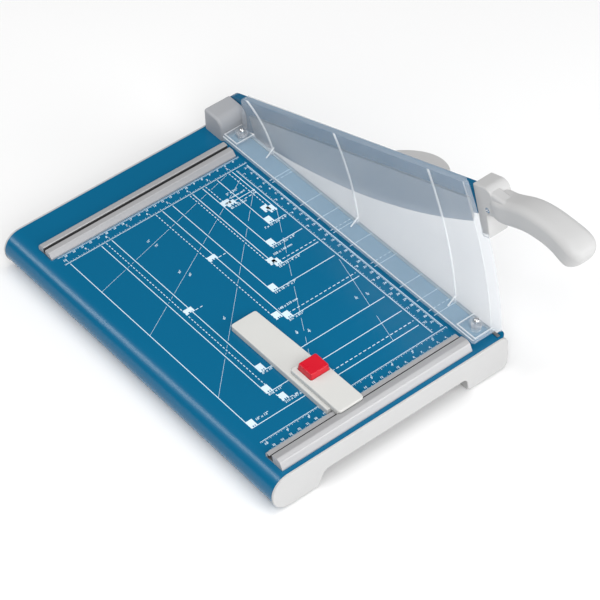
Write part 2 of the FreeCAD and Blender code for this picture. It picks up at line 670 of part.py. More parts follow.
def handle_half(left):
    span = (-10, HANDLE_SPLIT) if left else (HANDLE_SPLIT, 40)
    half = handle_body().common(block(span, (-600, 0), (-120, 60)))
    holes = []
    pieces = [half]
    if left:
        pieces.append(arm_rod(FRONT_SCREW[0], FRONT_SCREW[1], 2.5, 4.5, 3.4))
        for s, h in (FRONT_SCREW, BACK_SCREW):
            holes.append(arm_rod(s, h, TANG_X[1], 4.8, 6))
        holes.append(arm_rod(BACK_SCREW[0], BACK_SCREW[1], 0, 3.4, 4.6))
        holes.append(arm_rod(BACK_SCREW[0], BACK_SCREW[1], 0, 2.0, 10))
        holes.append(arm_rod(FRONT_SCREW[0], FRONT_SCREW[1], 4.9, 2.0, 5))
    else:
        for (s, h), length in ((FRONT_SCREW, 15.5), (BACK_SCREW, 13.5)):
            pieces.append(arm_rod(s, h, TANG_X[1] + 0.1, 4.5, length))
        holes.append(arm_rod(FRONT_SCREW[0], FRONT_SCREW[1], TANG_X[1], 2.0, 20))
        holes.append(arm_rod(FRONT_SCREW[0], FRONT_SCREW[1], 22.0, 3.4, 10))
        holes.append(arm_rod(BACK_SCREW[0], BACK_SCREW[1], TANG_X[1], 2.0, 9))
    return on_pivot(cut(fuse(pieces), holes))


def handle_screws():
    long_screw = pan_screw(3.3, 2.2, 1.95, 16.8)
    short_screw = pan_screw(3.3, 1.1, 1.95, 14)
    return group([
        on_pivot(aimed(long_screw, (22.0, -FRONT_SCREW[0], FRONT_SCREW[1]), (1, 0, 0))),
        on_pivot(aimed(short_screw, (4.6, -BACK_SCREW[0], BACK_SCREW[1]), (-1, 0, 0)))])


# ---------------------------------------------------------------- guard

def guard_sector(inner, outer, span):
    centre_y, centre_z = GUARD_CENTRE
    big = rod((span[0], centre_y, centre_z), (1, 0, 0), outer, span[1] - span[0])
    small = rod((span[0], centre_y, centre_z), (1, 0, 0), inner, span[1] - span[0])
    return big.cut(small)


def guard_edge(y):
    """Height of the guard's sloping top edge."""
    return GUARD_BACK_TOP + GUARD_SLOPE * (GUARD_BACK - y)


def guard_side(offset, span):
    """Region of the guard's side wall, moved inwards by offset from its top edge."""
    far = -420
    base = TOP + PAPER_GAP
    return prism([(GUARD_BACK, base), (GUARD_BACK, guard_edge(GUARD_BACK) - offset, 7),
                  (far, guard_edge(far) - offset), (far, base)], "YZ", span)


def strip_plate(z):
    return prism([(STRIP_X[0], STRIP_Y[0], 3), (STRIP_X[1], STRIP_Y[0]), (STRIP_X[1], STRIP_Y[1]),
                  (STRIP_X[0], STRIP_Y[1], 1)], "XY", z)


def guard_boss(y, screw, base, floor, top):
    """Open tray with a tower in it, which the shoulder screw passes through."""
    walls = block(BOSS_X, y, (base, top)).cut(
        block((BOSS_X[0] + BOSS_WALL, BOSS_X[1]), (y[0] + BOSS_WALL, y[1] - BOSS_WALL),
              (floor, top + 1)))
    return walls.fuse(rod((*screw, base), (0, 0, 1), TOWER_R, top - base))


def guard_panel():
    base = TOP + PAPER_GAP
    strip_top = base + STRIP_T
    reach = rod((-60, *GUARD_CENTRE), (1, 0, 0), GUARD_R, 120)
    lip = strip_plate((base, strip_top + 1.2)).common(
        block((STRIP_X[0], STRIP_X[0] + 1.6), STRIP_Y, (base, strip_top + 2)))
    pieces = [strip_plate((base, strip_top)), lip, guard_side(0, WALL_X).common(reach)]
    for y, screw in zip(BOSS_Y, GUARD_SCREWS):
        pieces.append(guard_boss(y, screw, base, strip_top + 0.2, strip_top + BOSS_HEIGHT))
    pieces.append(front_flange(upper=True))
    for radius in RIB_R:
        pieces.append(guard_rib(radius))
    cuts = []
    for x, y in GUARD_SCREWS:
        cuts.append(rod((x, y, base - 1), (0, 0, 1), 2.6, 12))
        cuts.append(rod((x, y, base - 1), (0, 0, 1), 5.8, 5.8))
    return cut(fuse(pieces), cuts)


def front_flange(upper):
    """Flared flange along the curved front: the part on the wall, or the lower part beyond it."""
    centre_y, centre_z = GUARD_CENTRE
    centre = Vector(0, centre_y, centre_z)
    section = [(WALL_X[0], GUARD_R - 2), (WALL_X[0], GUARD_R), (0.4, GUARD_R + 7.5),
               (2.4, GUARD_R + 7.5), (2.4, GUARD_R + 5.5), (WALL_X[1] + 0.6, GUARD_R - 2)]
    wire = Part.makePolygon([Vector(x, centre_y - r, centre_z) for x, r in section + section[:1]])
    ring_part = Part.Face(wire).revolve(centre, Vector(1, 0, 0), -35)
    base = TOP + PAPER_GAP
    far = -440
    if upper:
        outline = [(0, base), (0, guard_edge(0)), (far, guard_edge(far)), (far, base)]
        return ring_part.common(prism(outline, "YZ", (-10, FLANGE_SPLIT)))
    outline = [(0, base), (0, FLANGE_STEP), (-346, FLANGE_STEP, 5), (-352, FLANGE_STEP - 20),
               (far, FLANGE_STEP - 20), (far, base)]
    return ring_part.common(prism(outline, "YZ", (FLANGE_SPLIT, 10)))


def guard_flanges():
    """The moulding's outer rims, over the arm and in front of it."""
    span = (WALL_X[1], FLANGE_X)
    outline = prism([(WALL_X[1], GUARD_TOP_FRONT), (FLANGE_X, GUARD_TOP_FRONT, 5),
                     (FLANGE_X, GUARD_BACK, 1), (WALL_X[1], GUARD_BACK)], "XY", (TOP + 44, TOP + 240))
    top = guard_side(0, span).cut(guard_side(2.0, (span[0] - 1, span[1] + 1))).common(outline)
    return group([top.cut(front_flange(upper=True)), front_flange(upper=False)])


def guard_rib(radius):
    """Curved rib up the wall, with a small gusset where it meets the strip."""
    rib = guard_sector(radius - 0.8, radius + 0.8, (WALL_X[0] - 1.4, WALL_X[0]))
    rib = rib.common(guard_side(0, (-30, 10)))
    base = TOP + PAPER_GAP + STRIP_T
    centre_y, centre_z = GUARD_CENTRE
    foot_y = centre_y - math.sqrt(radius ** 2 - (base - centre_z) ** 2)
    gusset = prism([(WALL_X[0] + 0.1, base - 0.5), (WALL_X[0] - 11, base - 0.5),
                    (WALL_X[0] - 11, base + 0.6), (WALL_X[0] + 0.1, base + 9)],
                   "XZ", (foot_y - 0.8, foot_y + 0.8))
    return rib.fuse(gusset)


def guard_screws():
    """Shoulder screws that the guard slides on."""
    head_z = TOP + PAPER_GAP + STRIP_T + BOSS_HEIGHT + 0.1
    screws = []
    for x, y in GUARD_SCREWS:
        screw = pan_screw(3.4, 4.4, 2.35, head_z - TOP)
        stud = rod((0, 0, TOP - head_z), (0, 0, -1), 1.95, 13)
        screws.append(aimed(screw.fuse(stud), (x, y, head_z), (0, 0, 1)))
    return group(screws)


def guard_springs():
    return group([aimed(coil_spring(4.6, 0.45, PAPER_GAP + 4.6, 3.5), (x, y, TOP + 0.05), (0, 0, 1))
                  for x, y in GUARD_SCREWS])


# ---------------------------------------------------------------- backstop

def backstop_bar():
    left, right = STOP_X
    plate = prism([(left, STOP_BACK, 3), (right - STOP_TAPER, STOP_BACK, 3),
                   (right - 0.6, PAD_BACK), (right, PLATE_FRONT), (left, PLATE_FRONT, 1)],
                  "XY", (TOP + 0.3, TOP + PLATE_H))
    pad = prism([(left + 3.6, STOP_FRONT, 3), (left + 3.6, PAD_BACK, 3), (right - 0.6, PAD_BACK, 3),
                 (right, STOP_FRONT, 4)], "XY", (TOP + PLATE_H - 0.5, TOP + PAD_H))
    pad = fillet_edges(pad, 1.4, lambda edge: all_at(edge, "z", TOP + PAD_H))
    plate = fillet_edges(plate, 1.0, lambda edge: all_at(edge, "z", TOP + PLATE_H)
                         and not all_at(edge, "y", PLATE_FRONT))
    x, y = BUTTON_CENTRE
    holes = [block((left - 1, right + 1), (STOP_FRONT - 1, PLATE_FRONT), (TOP, TOP + SHOE_TOP)),
             block((left - 1, right + 1), (STOP_FRONT - 1, -348.2), (TOP, TOP + 10.0)),
             button_outline(12.0, 10.9, (TOP + 8, TOP + 20)),
             block((x - 8.0, x + 8.0), (y - 8.5, y + 8.5), (TOP + 2.5, TOP + 20)),
             block((x - 9.0, x + 9.0), (y - 8.5, y + 8.5), (TOP + 2.5, TOP + 6.9)),
             rod((x, y, TOP - 1), (0, 0, 1), 2.3, 10)]
    for place in shoe_screw_places():
        holes.append(rod(place, (0, 0, 1), 1.3, 5))
    return cut(fuse([plate, pad]), holes)


def button_outline(half_x, half_y, z):
    x, y = BUTTON_CENTRE
    return prism([(x - half_x, y - half_y, 2), (x + half_x, y - half_y, 2),
                  (x + half_x, y + half_y, 2), (x - half_x, y + half_y, 2)], "XY", z)


def shoe_screw_places():
    return [(x, -342.0, TOP + 5.5) for x in (STOP_X[0] + 10, STOP_X[1] - 8)]


def backstop_shoe():
    """T-shaped slider under the bar, running in the front rail's slot."""
    top = TOP + SHOE_TOP
    section = [(-348.2, top), (-348.2, TOP + 3.5), (-350.1, TOP + 3.5), (-350.1, TOP + 1.9),
               (-343.3, TOP + 1.9), (-343.3, TOP + 3.1), (-345.8, TOP + 3.1), (-345.8, TOP + 5.5),
               (-338.3, TOP + 5.5), (-338.3, top)]
    slider = prism(section, "YZ", (STOP_X[0] + 5, STOP_X[1] - 3))
    sink = countersink(2.3, 1.3, 4)
    return cut(slider, [aimed(sink, place, (0, 0, -1)) for place in shoe_screw_places()])


def backstop_screws():
    screw = flat_screw(2.2, 1.25, 4.8)
    return group([aimed(screw, place, (0, 0, -1)) for place in shoe_screw_places()])


def stop_button():
    """Push button with sloping sides, and hooks that keep it in the bar."""
    x, y = BUTTON_CENTRE
    low, shoulder, high = TOP + 10.8, TOP + 12.4, TOP + 18.8
    wires = []
    for z, half_x, half_y in ((shoulder, 11.6, 10.5), (high, 10.8, 9.9)):
        corners = [(Vector(x + sx * half_x, y + sy * half_y, z), 2.0)
                   for sx, sy in ((-1, -1), (1, -1), (1, 1), (-1, 1))]
        wires.append(rounded_wire(corners))
    cap = Part.makeLoft(wires, True)
    cap = fillet_edges(cap, 0.9, lambda edge: all_at(edge, "z", high))
    skirt = button_outline(11.6, 10.5, (low, shoulder))
    stem = block((x - 7.6, x + 7.6), (y - 8.1, y + 8.1), (TOP + 4.4, low))
    hooks = block((x - 8.6, x + 8.6), (y - 3.0, y + 3.0), (TOP + 4.4, TOP + 6.6))
    foot = rod((x, y, TOP + 4.4), (0, 0, -1), 1.9, 1.8)
    pocket = rod((x, y, TOP + 4.4), (0, 0, 1), 5.0, 6.0).cut(
        rod((x, y, TOP + 4.4), (0, 0, 1), 1.9, 6.0))
    return cut(fuse([cap, skirt, stem, hooks, foot]), [pocket])


def button_spring():
    x, y = BUTTON_CENTRE
    return aimed(coil_spring(3.6, 0.45, 7.6, 5), (x, y, TOP + 2.65), (0, 0, 1))


# ---------------------------------------------------------------- export

def nodes():
    return {
        "table_top": table_top(),
        "bed_rail": bed_rail(),
        "bed_knife": bed_knife(),
        "bed_knife_screws": bed_knife_screws(),
        "front_brace": brace(FRONT_BRACE_Y, FRONT_CAP_SCREW_Y, FRONT_SCREW_Y),
        "rear_brace": brace(REAR_BRACE_Y, REAR_CAP_SCREW_Y, REAR_SCREW_Y),
        "front_end_cap": end_cap(True),
        "rear_end_cap": end_cap(False),
        "end_cap_screws": end_cap_screws(),
        "rubber_feet": rubber_feet(),
        "front_rail": front_rail(),
        "rear_rail": rear_rail(),
        "rail_screws": rail_screws(),
        "hinge_bracket": hinge_bracket(),
        "hinge_bracket_screws": hinge_bracket_screws(),
        "hinge_cover": hinge_cover(),
        "stop_pin": stop_pin(),
        "pivot_bolt": pivot_bolt(),
        "pivot_nut": pivot_nut(),
        "pivot_lock_washer": pivot_lock_washer(),
        "thrust_washers": thrust_washers(),
        "disc_spring": disc_spring(),
        "arm": arm(),
        "pivot_bush": pivot_bush(),
        "blade": blade(),
        "blade_screws": blade_screws(),
        "side_rest": side_rest(),
        "side_rest_screws": side_rest_screws(),
        "handle_left_half": handle_half(True),
        "handle_right_half": handle_half(False),
        "handle_screws": handle_screws(),
        "guard_panel": guard_panel(),
        "guard_flanges": guard_flanges(),
        "guard_screws": guard_screws(),
        "guard_springs": guard_springs(),
        "backstop_bar": backstop_bar(),
        "backstop_shoe": backstop_shoe(),
        "backstop_screws": backstop_screws(),
        "stop_button": stop_button(),
        "button_spring": button_spring(),
    }


def main():
    os.makedirs("parts", exist_ok=True)
    shapes = nodes()
    box = FreeCAD.BoundBox()
    for shape in shapes.values():
        box.add(shape.optimalBoundingBox())
    shift = Vector(-round(box.Center.x, 1), -round(box.Center.y, 1), 0)
    print("shift", shift, "size", box.XLength, box.YLength, box.ZLength, "floor", box.ZMin)
    print("arm pivot", Vector(0, PIVOT_Y, PIVOT_Z) + shift)
    for name, shape in shapes.items():
        shape.translate(shift)
        if not shape.isValid():
            print("not valid:", name)
        print(f"{name:24s} solids {len(shape.Solids)} volume {shape.Volume:10.1f}")
        shape.exportStep(f"parts/{name}.step")


main()
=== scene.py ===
"""Studio scene of a lever arm paper cutter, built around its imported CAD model."""
import math

import bmesh
import bpy
from mathutils import Matrix, Vector

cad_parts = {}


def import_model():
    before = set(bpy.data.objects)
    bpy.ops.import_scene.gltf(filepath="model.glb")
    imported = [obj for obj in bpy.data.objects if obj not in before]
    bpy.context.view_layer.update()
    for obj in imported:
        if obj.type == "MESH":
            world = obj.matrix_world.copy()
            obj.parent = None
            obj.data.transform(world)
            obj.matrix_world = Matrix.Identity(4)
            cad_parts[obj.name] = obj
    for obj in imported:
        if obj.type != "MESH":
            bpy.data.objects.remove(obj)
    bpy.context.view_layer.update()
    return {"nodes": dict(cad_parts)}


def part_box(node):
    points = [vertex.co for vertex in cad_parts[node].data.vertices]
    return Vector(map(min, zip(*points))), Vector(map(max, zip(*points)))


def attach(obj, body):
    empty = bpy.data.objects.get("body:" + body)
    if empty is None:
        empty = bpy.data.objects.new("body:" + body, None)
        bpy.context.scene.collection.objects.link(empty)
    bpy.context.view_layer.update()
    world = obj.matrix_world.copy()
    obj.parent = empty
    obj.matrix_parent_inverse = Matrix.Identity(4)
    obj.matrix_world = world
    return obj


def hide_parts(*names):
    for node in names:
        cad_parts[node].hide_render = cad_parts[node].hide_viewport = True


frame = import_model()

MM = 0.001
INCH = 25.4                               # mm
CUT_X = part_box("bed_knife")[1].x          # the cutting edge
STOP_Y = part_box("rear_rail")[0].y         # the face that paper is laid against
TABLE_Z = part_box("table_top")[1].z


def at(x, y, z=0.0):
    """A point given in mm from the cutting edge, the paper stop and the table's surface."""
    return Vector((CUT_X + x * MM, STOP_Y + y * MM, TABLE_Z + z * MM))


# ---------------------------------------------------------------- materials

EVEN = (1, 1, 1)                          # a noise that isn't stretched
MIX_FACTOR, MIX_A, MIX_B = 0, 6, 7        # a mix node's sockets when it mixes colours
MIX_RESULT = 2


def srgb(r, g, b):
    """Linear colour from 0 to 255 screen values."""
    def linear(value):
        value /= 255
        return value / 12.92 if value <= 0.04045 else ((value + 0.055) / 1.055) ** 2.4
    return (linear(r), linear(g), linear(b), 1.0)


def grey(value):
    return (value, value, value, 1.0)


class Shader:
    """A Principled material with a few procedural layers."""

    def __init__(self, name, color, roughness, **sockets):
        self.material = bpy.data.materials.new(name)
        self.material.use_nodes = True
        self.nodes = self.material.node_tree.nodes
        self.links = self.material.node_tree.links
        self.main = self.nodes["Principled BSDF"]
        self.main.inputs["Base Color"].default_value = color
        self.main.inputs["Roughness"].default_value = roughness
        for key, value in sockets.items():
            self.main.inputs[key.replace("_", " ")].default_value = value
        self.color = color
        self.normal = None

    def noise(self, scale, stretch):
        """Noise in the object's own space; scale is in waves per metre."""
        coords = self.nodes.new("ShaderNodeTexCoord")
        mapping = self.nodes.new("ShaderNodeMapping")
        mapping.inputs["Scale"].default_value = stretch
        self.links.new(coords.outputs["Object"], mapping.inputs["Vector"])
        noise = self.nodes.new("ShaderNodeTexNoise")
        noise.inputs["Scale"].default_value = scale
        noise.inputs["Detail"].default_value = 3.0
        self.links.new(mapping.outputs["Vector"], noise.inputs["Vector"])
        return noise.outputs["Fac"]

    def shaded(self, factor):
        return tuple(min(1, c * factor) for c in self.color[:3]) + (1.0,)

    def mottle(self, scale, amount, stretch=EVEN):
        """Slow colour variation of a few percent."""
        mix = self.nodes.new("ShaderNodeMix")
        mix.data_type = "RGBA"
        mix.inputs[MIX_A].default_value = self.shaded(1 - amount)
        mix.inputs[MIX_B].default_value = self.shaded(1 + amount)
        self.links.new(self.noise(scale, stretch), mix.inputs[MIX_FACTOR])
        self.links.new(mix.outputs[MIX_RESULT], self.main.inputs["Base Color"])
        return self

    def gloss(self, scale, low, high, stretch=EVEN):
        """Uneven roughness."""
        spread = self.nodes.new("ShaderNodeMapRange")
        spread.inputs["From Min"].default_value = 0.3
        spread.inputs["From Max"].default_value = 0.7
        spread.inputs["To Min"].default_value = low
        spread.inputs["To Max"].default_value = high
        self.links.new(self.noise(scale, stretch), spread.inputs["Value"])
        self.links.new(spread.outputs["Result"], self.main.inputs["Roughness"])
        return self

    def grain(self, scale, height, stretch=EVEN):
        """Fine surface relief; height in mm."""
        bump = self.nodes.new("ShaderNodeBump")
        bump.inputs["Strength"].default_value = 1.0
        bump.inputs["Distance"].default_value = height * MM
        self.links.new(self.noise(scale, stretch), bump.inputs["Height"])
        if self.normal:
            self.links.new(self.normal, bump.inputs["Normal"])
        self.normal = bump.outputs["Normal"]
        self.links.new(self.normal, self.main.inputs["Normal"])
        return self


def blue_paint():
    """Powder coat: fine grain over a slower orange peel."""
    shader = Shader("blue_powder_coat", srgb(0, 97, 136), 0.24, Specular_IOR_Level=0.3)
    shader.mottle(9, 0.04).gloss(14, 0.22, 0.26)
    return shader.grain(1400, 0.012).grain(260, 0.006).material


def cap_plastic():
    shader = Shader("light_grey_moulding", srgb(190, 190, 190), 0.5, Specular_IOR_Level=0.35)
    return shader.mottle(14, 0.015).gloss(20, 0.46, 0.56).grain(2600, 0.012).material


def cover_plastic():
    shader = Shader("mid_grey_moulding", srgb(166, 168, 172), 0.48, Specular_IOR_Level=0.35)
    return shader.mottle(30, 0.02).gloss(30, 0.42, 0.54).grain(2600, 0.012).material


def bar_plastic():
    shader = Shader("off_white_moulding", srgb(204, 204, 201), 0.5, Specular_IOR_Level=0.35)
    return shader.mottle(24, 0.015).gloss(20, 0.44, 0.56).grain(2200, 0.01).material


def red_plastic():
    shader = Shader("red_moulding", srgb(204, 14, 38), 0.3, Specular_IOR_Level=0.5)
    return shader.mottle(60, 0.04).gloss(60, 0.26, 0.36).grain(2600, 0.006).material


def clear_wall():
    shader = Shader("clear_moulding", (0.76, 0.81, 0.87, 1.0), 0.16, Alpha=0.245,
                    Specular_IOR_Level=0.9)
    return shader.mottle(30, 0.04).gloss(35, 0.14, 0.22).grain(25, 0.008).material


def clear_strip():
    """The frosted strip over the table."""
    shader = Shader("clear_moulding_frosted", (0.54, 0.70, 0.82, 1.0), 0.34, Alpha=0.30,
                    Specular_IOR_Level=0.6)
    return shader.mottle(900, 0.22).gloss(60, 0.28, 0.40).grain(1500, 0.02).material


def clear_edge():
    """Painted highlight: the same plastic where it is seen edge on, rougher, whiter and less
    clear, so that its edges show as bright lines.
    """
    shader = Shader("clear_moulding_edge_painted_highlight", (0.83, 0.86, 0.88, 1.0), 0.3, Alpha=0.58,
                    Specular_IOR_Level=0.7)
    return shader.mottle(90, 0.05).gloss(60, 0.24, 0.36).material


def anodised():
    """Extruded aluminium, with faint draw lines along X."""
    shader = Shader("anodised_aluminium", (0.45, 0.45, 0.46, 1.0), 0.46, Metallic=0.35)
    shader.mottle(4, 0.03, stretch=(1, 40, 40)).gloss(8, 0.42, 0.52, stretch=(1, 60, 60))
    return shader.grain(900, 0.004, stretch=(0.02, 1, 1)).material


def slot_shade():
    """Painted shade: the same aluminium, darkened deep in a rail's slot where shade falls.
    """
    shader = Shader("anodised_slot_painted_shade", (0.09, 0.09, 0.093, 1.0), 0.6, Metallic=0.3)
    return shader.gloss(8, 0.5, 0.65, stretch=(1, 60, 60)).material


def steel(name, shade, low, high):
    shader = Shader(name, (shade, shade, shade * 1.01, 1.0), low, Metallic=1.0)
    return shader.gloss(120, low, high).material


def bronze():
    shader = Shader("bronze", (0.55, 0.36, 0.18, 1.0), 0.4, Metallic=1.0)
    return shader.mottle(400, 0.15).grain(3000, 0.01).material


def rubber():
    shader = Shader("foot_rubber", (0.025, 0.025, 0.026, 1.0), 0.7, Specular_IOR_Level=0.3)
    return shader.mottle(80, 0.2).grain(1500, 0.03).material


def ink():
    shader = Shader("white_print", srgb(214, 232, 242), 0.55, Specular_IOR_Level=0.25)
    return shader.mottle(900, 0.05).grain(2500, 0.004).material


PAINT = blue_paint()
CAP = cap_plastic()
RAIL = anodised()
BRIGHT = steel("bright_steel", 0.72, 0.18, 0.3)
GROUND = steel("ground_steel", 0.62, 0.34, 0.36)
ZINC = steel("zinc_plate", 0.58, 0.34, 0.5)
OFF_WHITE = bar_plastic()

# screws, springs, washers and the pivot's parts aren't listed: they are bright steel
FINISHES = {
    "table_top": PAINT, "arm": PAINT,
    "front_end_cap": CAP, "rear_end_cap": CAP, "side_rest": CAP,
    "handle_left_half": CAP, "handle_right_half": CAP,
    "hinge_cover": cover_plastic(),
    "backstop_bar": OFF_WHITE, "backstop_shoe": OFF_WHITE,
    "stop_button": red_plastic(),
    "front_rail": RAIL, "rear_rail": RAIL, "bed_rail": RAIL,
    "bed_knife": GROUND, "blade": GROUND,
    "front_brace": ZINC, "rear_brace": ZINC, "hinge_bracket": ZINC,
    "pivot_bush": bronze(),
    "rubber_feet": rubber(),
}

for name, node in frame["nodes"].items():
    node.data.materials.clear()
    node.data.materials.append(FINISHES.get(name, BRIGHT))


# ---------------------------------------------------------------- clear guard

GUARD_NODES = ("guard_panel", "guard_flanges")
WELD = 0.000002                # corners closer than this are one, m
SAME_PATCH = 0.94              # cosine of the sharpest turn inside a patch of faces
EDGE_WIDTH = 1.9               # patches narrower than this are edges, mm
STRIP_TOP = at(0, 0, 7.8).z    # just above the strip that lies over the table
LEVEL = 0.95                   # vertical part of a level face's normal
SIDEWAYS = 0.9                 # X part of the normal of a face along the wall
WALL, STRIP, EDGE = 0, 1, 2    # the guard's material slots


def patches(mesh):
    """Groups of faces that run into each other without a sharp corner."""
    mesh.faces.ensure_lookup_table()
    seen, found = set(), []
    for start in mesh.faces:
        if start.index in seen:
            continue
        seen.add(start.index)
        patch, queue = [], [start]
        while queue:
            face = queue.pop()
            patch.append(face)
            for edge in face.edges:
                for other in edge.link_faces:
                    smooth = face.normal.dot(other.normal) > SAME_PATCH
                    if other.index not in seen and smooth:
                        seen.add(other.index)
                        queue.append(other)
        found.append(patch)
    return found


def mean_width(patch):
    """A patch's width in mm, as if it were a long strip."""
    inside = {face.index for face in patch}
    rim = sum(edge.calc_length() for face in patch for edge in face.edges
              if any(other.index not in inside for other in edge.link_faces))
    area = sum(face.calc_area() for face in patch)
    return 2 * area / rim / MM if rim else math.inf


def weld(mesh):
    bmesh.ops.remove_doubles(mesh, verts=mesh.verts, dist=WELD)


def welded_copy(name):
    """A copy of a CAD node with its faces joined along their edges."""
    mesh = bmesh.new()
    mesh.from_mesh(frame["nodes"][name].data)
    weld(mesh)
    data = bpy.data.meshes.new(name + "_copy")
    mesh.to_mesh(data)
    mesh.free()
    copy = bpy.data.objects.new(name + "_copy", data)
    bpy.context.scene.collection.objects.link(copy)
    return copy


def joined_guard():
    """The guard's nodes as the single moulding that they are."""
    copies = [welded_copy(name) for name in GUARD_NODES]
    for rim in copies[1:]:
        union = copies[0].modifiers.new("union", "BOOLEAN")
        union.operation = "UNION"
        union.solver = "EXACT"
        union.object = rim
    graph = bpy.context.evaluated_depsgraph_get()
    data = bpy.data.meshes.new_from_object(copies[0].evaluated_get(graph))
    for copy in copies:
        bpy.data.objects.remove(copy)
    return data


def guard_slot(patch):
    """The material slot of a patch: edge with a painted highlight, frosted strip or wall."""
    normal = patch[0].normal
    # Narrow faces that don't face sideways get the edge's painted highlight.
    if mean_width(patch) < EDGE_WIDTH and abs(normal.x) < SIDEWAYS:
        return EDGE
    if abs(normal.z) > LEVEL and patch[0].calc_center_median().z < STRIP_TOP:
        return STRIP
    return WALL


def clear_guard():
    """The guard with its strip frosted and a painted highlight on its narrow faces, which
    show as bright edges.
    """
    mesh = bmesh.new()
    mesh.from_mesh(joined_guard())
    weld(mesh)
    for patch in patches(mesh):
        slot = guard_slot(patch)
        for face in patch:
            face.material_index = slot
    data = bpy.data.meshes.new("clear_guard")
    mesh.to_mesh(data)
    mesh.free()
    for finish_or_painted_light in (clear_wall(), clear_strip(), clear_edge()):
        data.materials.append(finish_or_painted_light)
    guard = bpy.data.objects.new("clear_guard", data)
    bpy.context.scene.collection.objects.link(guard)
    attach(guard, "guard")
    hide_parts(*GUARD_NODES)


clear_guard()


# ---------------------------------------------------------------- painted shade in the rail slots

SLOT_FLOOR = at(0, 0, 4.2).z   # level faces below this are a slot's floor
UPRIGHT = 0.3                  # the most that a slot wall's normal tips up or down


def shade_slot(name, finish_or_painted_light, front, back, top):
    """Painted shade in a rail's slot, from front to back (mm from the stop), up to top: a
    darker material on the slot's walls and floor.
    """
    data = frame["nodes"][name].data
    data.materials.append(finish_or_painted_light)
    low, high, roof = at(0, front).y, at(0, back).y, at(0, 0, top).z
    for face in data.polygons:
        inside = low < face.center.y < high and face.center.z < roof
        if inside and (abs(face.normal.z) < UPRIGHT or face.center.z < SLOT_FLOOR):
            face.material_index = 1


# Painted shade: a darker aluminium on the walls and floor of each rail's slot.
PAINTED_SLOT_SHADE = slot_shade()
shade_slot("front_rail", PAINTED_SLOT_SHADE, -350.65, -342.75, 8.0)
shade_slot("rear_rail", PAINTED_SLOT_SHADE, 10.55, 13.65, 6.4)


# ---------------------------------------------------------------- printed table

# All lengths are in mm. Heights are above the table's surface. Each group of marks has a
# height of its own, so that crossing marks never share a face.
PRINT_BOTTOM = -0.02           # just inside the paint
ANGLES_TOP = 0.03
ALONG_TOP = 0.05
ACROSS_TOP = 0.06
RULERS_TOP = 0.07
TAGS_TOP = 0.08
LABELS_TOP = 0.09

LINE = 0.8                     # width of a format's line
THIN_LINE = 0.28               # width of an angle's ray
TICK = 0.19                    # half of a ruler tick's width
DASH = (3.4, 2.2)              # length and gap of the dashes across the table
SHORT_DASH = (2.6, 1.9)        # and of those along it
TAG = (7.2, 9.8)               # short and long side of a format's corner tag
NOTCH = 2.2                    # depth of a tag's notched end

UPPER_END = -15.5              # formats start in front of the rear ruler
LOWER_END = -321.0             # the right-hand ruler stops in front of the front one
RIGHT_END = -49.5              # formats end beside the right-hand ruler
STRIP_SPAN = (-30.0, -0.8)     # and go on between that ruler and the cutting edge
CARD_DEPTH = 51                # formats shorter than this have their line in CARD_SLOTS

# (width, depth, label, label's offset from the corner)
SOLID_FORMATS = [
    (254.0, 304.8, '10" x 12"', (9.0, 4.8)),
    (215.9, 279.4, '8½" x 11"', (0.0, -3.6)),
    (203.2, 254.0, '8" x 10"', (0.0, -3.6)),
    (139.7, 215.9, '5½" x 8½"', (0.0, -3.6)),
    (127.0, 177.8, '13 x 18 - 5" x 7"', (-0.4, -3.6)),
    (101.6, 152.4, '10 x 15 - 4" x 6"', (0.0, -3.6)),
    (88.9, 127.0, '9 x 13 - 3½" x 5"', (-0.2, -3.6)),
    (70.0, 100.0, '7 x 10 - 2¾" x 4"', (-7.6, -3.6)),
    (88.9, 50.8, '2" x 3½"', (12.2, 11.0)),
]
DASHED_FORMATS = [
    (210.0, 297.0, "210 x 297 mm", (0.0, -3.6)),
    (148.0, 210.0, "148 x 210 mm", (9.4, 8.6)),
    (105.0, 148.0, "105 x 148 mm", (10.0, 9.2)),
    (85.0, 55.0, "85 x 55 mm", (-0.4, -3.8)),
]
SIDEWAYS_FORMATS = [(210.0, 148.0), (148.0, 105.0)]
SIDEWAYS_DASH = (10.5, 19.0)   # where the short line beside their tag starts and ends
CARD_SLOTS = [(50.8, 88.9, False), (55.0, 85.0, True)]    # (width, depth, dashed)

LARGEST = SOLID_FORMATS[0][:2]
RAY_GAP = 2.0                  # gap on each side of a format's line that a ray crosses

# angle of a ray: (where its numbers stand, from the cutting edge, their distance from it)
ANGLES = {15: (175, 5.2), 30: (176, 5.6), 45: (180, 6.2), 60: (138, 6.0), 75: (64, 6.0)}

# (the ruler's line, side its ticks stand on)
INCH_RULERS = ((-14.0, 1), (-323.4, -1))
CM_RULERS = ((-0.6, -1), (-338.2, 1))
RIGHT_INCH_LINE = -46.6        # the right-hand ruler's two lines
RIGHT_CM_LINE = -32.8
SIXTEENTHS = range(20, 164)    # ticks of each ruler, in its own unit
RIGHT_SIXTEENTHS = range(11, 203)
MILLIMETRES = range(32, 260)
RIGHT_MILLIMETRES = range(18, 321)

FONT_CAP_HEIGHT = 0.62         # capitals' height as a share of the font's size
SLANT = 0.15
WEIGHT = 0.00007               # thickens the letters' strokes, m


def boxes_mesh(name, quads, top):
    """One mesh of thin raised boxes; each quad is four (x, y) corners, anticlockwise."""
    points, faces = [], []
    for quad in quads:
        first = len(points)
        points += [at(x, y, PRINT_BOTTOM) for x, y in quad]
        points += [at(x, y, top) for x, y in quad]
        faces.append([first + 3, first + 2, first + 1, first])
        faces.append([first + 4 + i for i in range(4)])
        for i in range(4):
            after = (i + 1) % 4
            faces.append([first + i, first + after, first + 4 + after, first + 4 + i])
    mesh = bpy.data.meshes.new(name)
    mesh.from_pydata(points, [], faces)
    mesh.validate()
    return mesh


